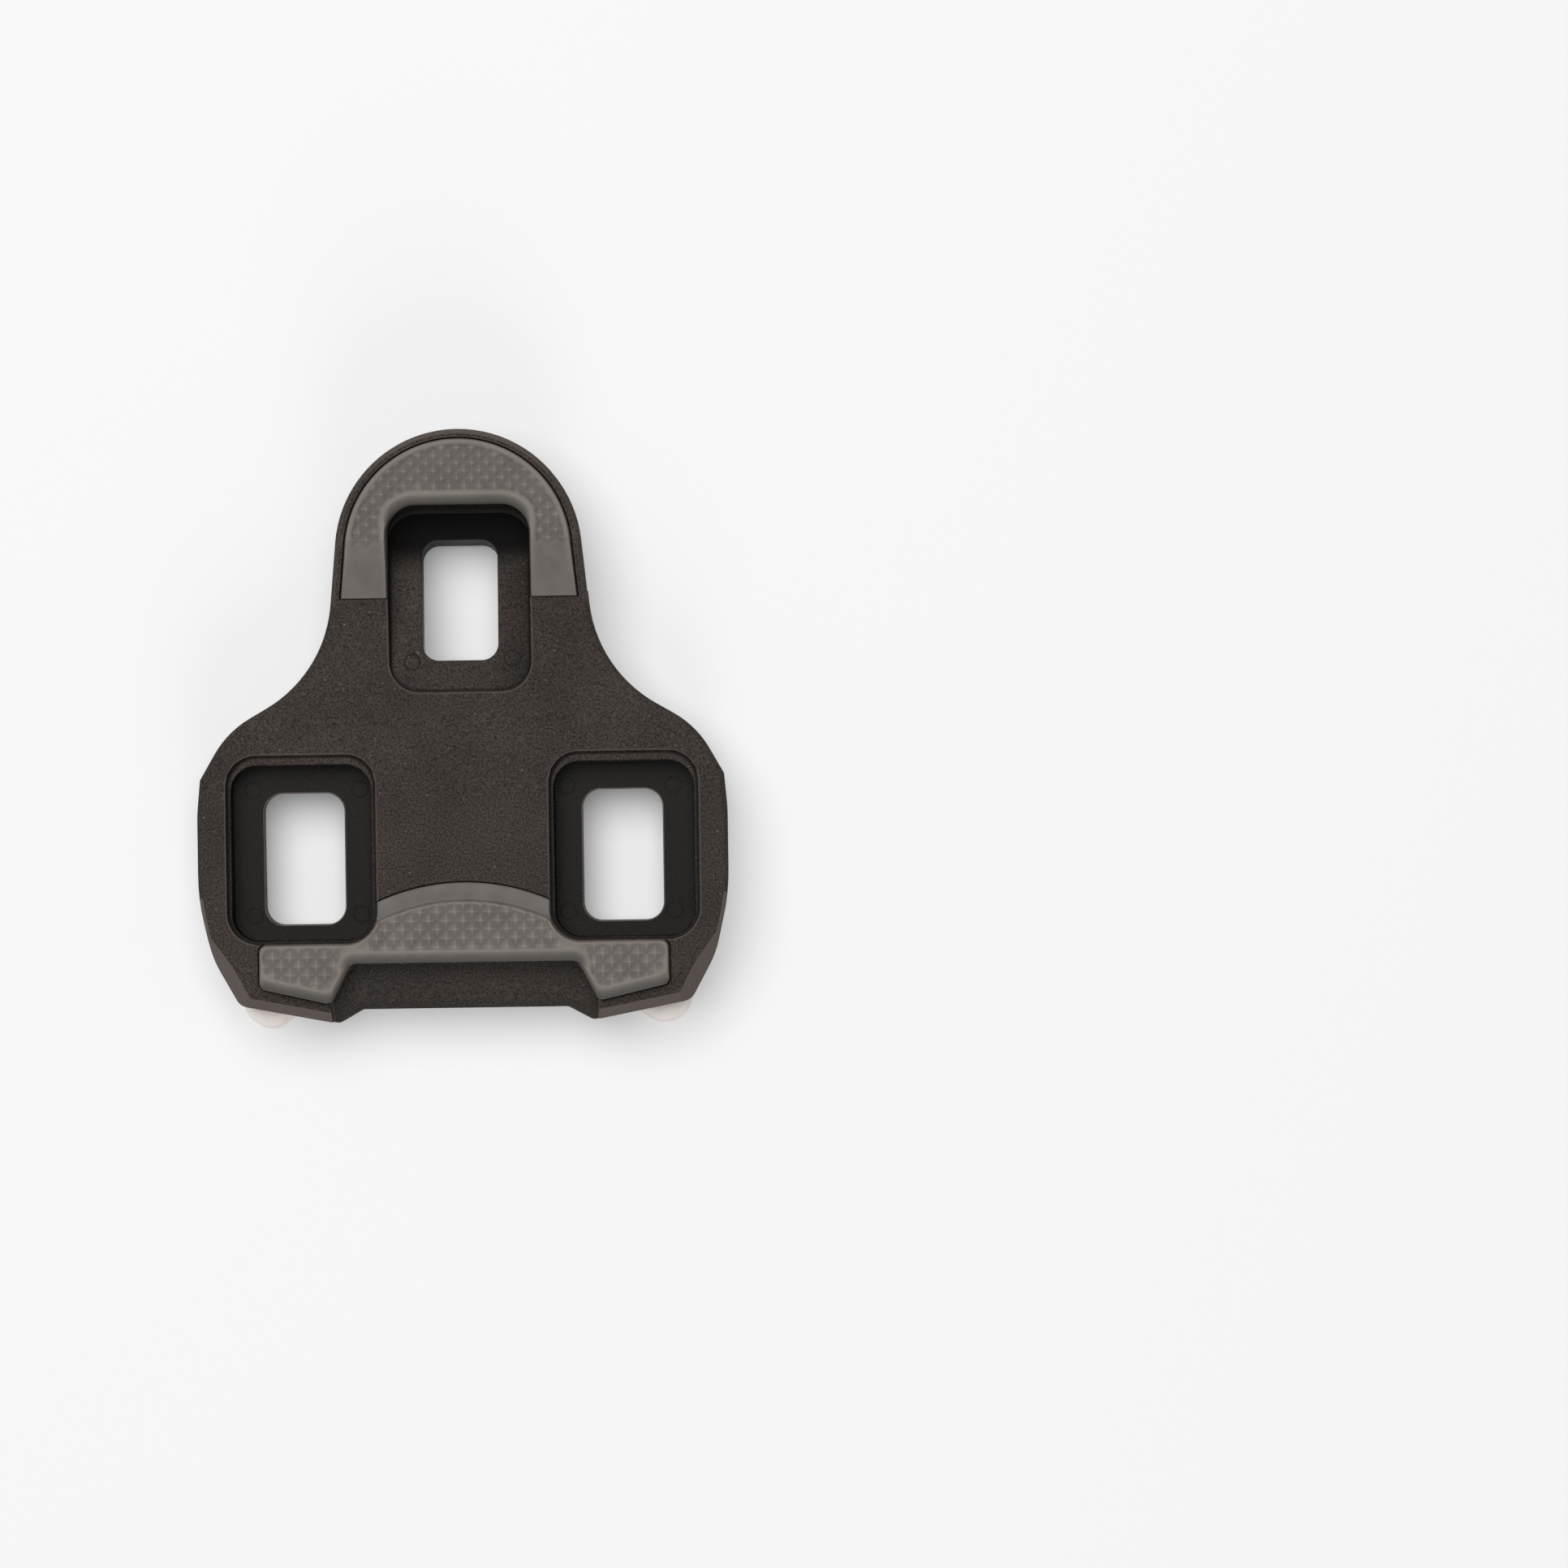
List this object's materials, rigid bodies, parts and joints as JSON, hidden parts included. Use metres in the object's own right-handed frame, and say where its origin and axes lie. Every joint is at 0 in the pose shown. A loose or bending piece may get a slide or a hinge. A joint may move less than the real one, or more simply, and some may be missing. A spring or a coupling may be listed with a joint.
{
  "type": "clipless pedal cleat",
  "caption": "Three-bolt road shoe cleat: rounded nose, narrow neck, wide wings, slotted bolt pockets, grey knurled grip pads and round pale corner pads.",
  "frame": {"origin": "on the surface that the cleat lies on, at the middle of its length and width", "axes": "+X to the right seen from the pedal side with the nose away, +Y to the nose, +Z from the shoe sole to the pedal side"},
  "size_m": [0.0604, 0.0678, 0.0119],
  "materials": {
    "body_plastic": "fine grain",
    "grip_rubber": "matte knurled",
    "corner_rubber": "smooth matte"
  },
  "bodies": {
    "root": {"cleat_body": "body_plastic", "front_grip_pad": "grip_rubber", "rear_grip_pad": "grip_rubber", "rear_corner_pad_right": "corner_rubber", "rear_corner_pad_left": "corner_rubber"}
  },
  "joints": []
}
